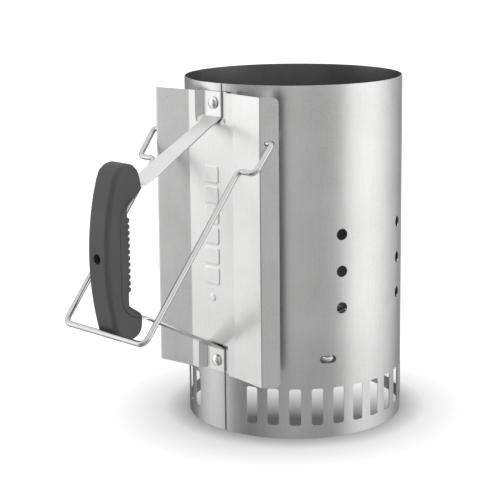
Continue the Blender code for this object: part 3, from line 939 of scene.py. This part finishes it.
def bail_point(across, along):
    reach = PIVOT_REACH + along * math.cos(BAIL_ANGLE)
    return place(across, reach, PIVOT_Z - along * math.sin(BAIL_ANGLE))


def build_bail(finish):
    half = [
        (BAIL_STUB_END, 0, 0),
        (BAIL_SHOULDER, 0, 3 * MM),
        (KINK_OUTER, KINK_AT, 5 * MM),
        (KINK_INNER, KINK_AT, 5 * MM),
        (BAR_HALF_WIDTH, BAIL_LENGTH, 6.5 * MM),
    ]
    corners = [(bail_point(-across, along), radius) for across, along, radius in half]
    corners += [(bail_point(across, along), radius) for across, along, radius in reversed(half)]
    bail = add_tube("bail_wire", rounded_path(corners, steps=14), BAIL_WIRE, finish, sides=9)
    fit(bail, "bail", "plated_wire", "bail")


# Stage ---------------------------------------------------------------------------------------

# The room's brightness by direction was tuned to the reflections in the photo
ROOM = [  # (degrees to the camera's right of the camera's side of the object, brightness)
    (-180, 0.5), (-165, 0.25), (-140, 0.2), (-128, 0.5), (-118, 1.1), (-100, 1.55),
    (-86, 1.5), (-78, 0.9), (-70, 0.5), (-55, 0.34), (-40, 0.38), (-10, 0.58), (0, 0.6),
    (20, 0.52), (45, 0.52), (56, 0.9), (64, 1.3), (90, 1.35), (105, 1.1), (125, 0.7),
    (140, 0.45), (152, 0.2), (165, 0.6), (178, 1.0),
]
ROOM_GAIN = 2.0
CEILING = 1.05
CEILING_FROM, CEILING_TO = 0.2, 0.6
LOW_LEFT = (-0.35, -0.12, 0.64, 1.0)  # how the room darkens below the horizon on each side
LOW_RIGHT = (-0.42, -0.24, 0.75, 1.05)
LEFT_TO_RIGHT = (-0.9, -0.65)
# The floor's glow and foot shade are painted in to match the photo, and are not computed light
FLOOR_GLOW = (0, 0.3)  # at the barrel's foot, and away from it
FLOOR_GLOW_WIDTH = 85 * MM
FLOOR_GLOW_INSIDE = (0, 0.8)  # under the barrel, from the camera's side to the far side
FLOOR_GLOW_SPAN = (-42 * MM, 60 * MM)
FOOT_SHADE_WIDTH = 24 * MM


def build_world():
    world = bpy.data.worlds.new("studio")
    bpy.context.scene.world = world
    world.use_nodes = True
    tree = world.node_tree
    background = tree.nodes["Background"]
    new, link = tree.nodes.new, tree.links.new
    place_node = new("ShaderNodeTexCoord")
    turn = new("ShaderNodeMapping")
    turn.vector_type = "POINT"
    turn.inputs["Rotation"].default_value = (0, 0, -CAMERA_AZIMUTH)
    link(place_node.outputs["Generated"], turn.inputs["Vector"])
    parts = new("ShaderNodeSeparateXYZ")
    link(turn.outputs["Vector"], parts.inputs["Vector"])
    flip = new("ShaderNodeMath")
    flip.operation = "MULTIPLY"
    flip.inputs[1].default_value = -1
    link(parts.outputs["Y"], flip.inputs[0])
    angle = new("ShaderNodeMath")
    angle.operation = "ARCTAN2"
    link(parts.outputs["X"], angle.inputs[0])
    link(flip.outputs["Value"], angle.inputs[1])
    spread = new("ShaderNodeMapRange")
    spread.inputs["From Min"].default_value = -math.pi
    spread.inputs["From Max"].default_value = math.pi
    link(angle.outputs["Value"], spread.inputs["Value"])
    ramp = new("ShaderNodeValToRGB")
    ramp.color_ramp.interpolation = "EASE"
    stops = ramp.color_ramp.elements
    while len(stops) > 1:
        stops.remove(stops[-1])
    for i, (degrees, value) in enumerate(ROOM):
        stop = stops[0] if i == 0 else stops.new((degrees + 180) / 360)
        stop.position = (degrees + 180) / 360
        stop.color = (value / ROOM_GAIN,) * 3 + (1,)
    link(spread.outputs["Result"], ramp.inputs["Fac"])
    rise = new("ShaderNodeMapRange")
    rise.interpolation_type = "SMOOTHSTEP"
    rise.inputs["From Min"].default_value = CEILING_FROM
    rise.inputs["From Max"].default_value = CEILING_TO
    link(parts.outputs["Z"], rise.inputs["Value"])
    falls = []
    for spans in (LOW_LEFT, LOW_RIGHT, (*LEFT_TO_RIGHT, 0, 1)):
        fall = new("ShaderNodeMapRange")
        fall.interpolation_type = "SMOOTHSTEP"
        for key, value in zip(("From Min", "From Max", "To Min", "To Max"), spans):
            fall.inputs[key].default_value = value
        falls.append(fall)
    link(parts.outputs["Z"], falls[0].inputs["Value"])
    link(parts.outputs["Z"], falls[1].inputs["Value"])
    link(angle.outputs["Value"], falls[2].inputs["Value"])
    sides = new("ShaderNodeMix")
    for socket, fall in zip((2, 3, 0), falls):
        link(fall.outputs["Result"], sides.inputs[socket])
    low = new("ShaderNodeMix")
    low.data_type = "RGBA"
    low.clamp_factor = False
    low.inputs[6].default_value = (0, 0, 0, 1)
    link(sides.outputs[0], low.inputs[0])
    link(ramp.outputs["Color"], low.inputs[7])
    mix = new("ShaderNodeMix")
    mix.data_type = "RGBA"
    mix.inputs[7].default_value = (CEILING / ROOM_GAIN,) * 3 + (1,)
    link(rise.outputs["Result"], mix.inputs[0])
    link(low.outputs[2], mix.inputs[6])
    seen = new("ShaderNodeLightPath")
    shown = new("ShaderNodeMix")
    shown.data_type = "RGBA"
    shown.inputs[7].default_value = (1 / ROOM_GAIN,) * 3 + (1,)
    link(seen.outputs["Is Camera Ray"], shown.inputs[0])
    link(mix.outputs[2], shown.inputs[6])
    link(shown.outputs[2], background.inputs["Color"])
    background.inputs["Strength"].default_value = ROOM_GAIN


def build_floor():
    bm = bmesh.new()
    bmesh.ops.create_grid(bm, x_segments=1, y_segments=1, size=20)
    floor = add_object("floor", mesh_from(bm, "floor"))
    floor.location = (0, 0, -0.02 * MM)
    n = Nodes("floor_paper")
    n.shader.inputs["Roughness"].default_value = 0.9
    n.shader.inputs["Specular IOR Level"].default_value = 0
    n.shader.inputs["Emission Color"].default_value = (1, 1, 1, 1)
    # Painted light and shadow: the floor glows, dim at the barrel's foot and brighter away from it,
    # with a glowing patch under the barrel, and its colour darkens at the foot
    away = Vector((-math.sin(CAMERA_AZIMUTH), math.cos(CAMERA_AZIMUTH), 0))
    centre = n.add("ShaderNodeVectorMath", operation="SUBTRACT")
    centre.inputs[1].default_value = (0, AXIS_Y, 0)
    n.link(n.place, centre.inputs[0])
    along = n.add("ShaderNodeVectorMath", operation="DOT_PRODUCT")
    along.inputs[1].default_value = away
    n.link(centre.outputs["Vector"], along.inputs[0])
    distance = n.add("ShaderNodeVectorMath", operation="LENGTH")
    n.link(centre.outputs["Vector"], distance.inputs[0])
    span = distance.outputs["Value"]
    glow = n.remap(along.outputs["Value"], *FLOOR_GLOW_SPAN, *FLOOR_GLOW_INSIDE)
    inside = n.maths("LESS_THAN", span, BARREL_RADIUS - 0.5 * MM)
    around = n.remap(span, BARREL_RADIUS, BARREL_RADIUS + FLOOR_GLOW_WIDTH, *FLOOR_GLOW)
    total = n.maths("ADD", n.maths("MULTIPLY", inside, glow), around)
    n.link(total, n.shader.inputs["Emission Strength"])
    foot = n.remap(span, BARREL_RADIUS, BARREL_RADIUS + FOOT_SHADE_WIDTH, 0, 1)
    n.link(n.tint(foot, (0.55, 0.55, 0.55), (0.94, 0.94, 0.94)), n.shader.inputs["Base Color"])
    floor.data.materials.append(n.material)
    floor.visible_glossy = False


def build_camera():
    camera = bpy.data.cameras.new("camera")
    camera.lens = CAMERA_LENS
    camera.sensor_width = 36
    camera.shift_y = CAMERA_SHIFT_Y
    camera.clip_start = 0.05
    camera.clip_end = 100
    holder = bpy.data.objects.new("camera", camera)
    bpy.context.scene.collection.objects.link(holder)
    side = Vector((math.sin(CAMERA_AZIMUTH), -math.cos(CAMERA_AZIMUTH), 0))
    right = Vector((-side.y, side.x, 0))
    holder.location = Vector((0, AXIS_Y, CAMERA_HEIGHT)) + side * CAMERA_DISTANCE
    holder.location += right * CAMERA_ASIDE
    turn = Matrix.Rotation(CAMERA_AZIMUTH + CAMERA_YAW, 4, "Z")
    turn = turn @ Matrix.Rotation(math.pi / 2 - CAMERA_PITCH, 4, "X")
    turn = turn @ Matrix.Rotation(CAMERA_ROLL, 4, "Z")
    holder.rotation_mode = "QUATERNION"
    holder.rotation_quaternion = turn.to_quaternion()
    bpy.context.scene.camera = holder


def main():
    bpy.context.scene.view_settings.view_transform = "Standard"
    # The barrel's steel has painted shade towards the ground
    barrel_steel = sheet_steel("barrel_steel", low_shade=0.8)
    # One sheet, two copies of its steel: the inside is painted shade, made darker to match the
    # photo
    shaded_inside_steel = sheet_steel("shaded_inside_steel", tone=0.37, roughness=(0.34, 0.46))
    shield_steel = sheet_steel("shield_steel", tone=1.04)
    strap_steel = sheet_steel("strap_steel", tone=1.1, roughness=(0.26, 0.34))
    wire = bright_metal("plated_wire", (0.62, 0.62, 0.615), (0.12, 0.18))
    rivet_metal = bright_metal("rivet_metal", (0.86, 0.86, 0.85), (0.12, 0.2))
    weld_metal = bright_metal("weld_metal", (0.55, 0.54, 0.52), (0.35, 0.5))
    plastic = moulded_plastic("grip_plastic")
    build_camera()
    build_world()
    build_floor()
    build_barrel(barrel_steel, shaded_inside_steel)
    build_grate(wire, weld_metal)
    build_shield(shield_steel)
    build_strap(strap_steel)
    build_grip(plastic)
    build_fasteners(rivet_metal)
    build_bail(wire)


main()
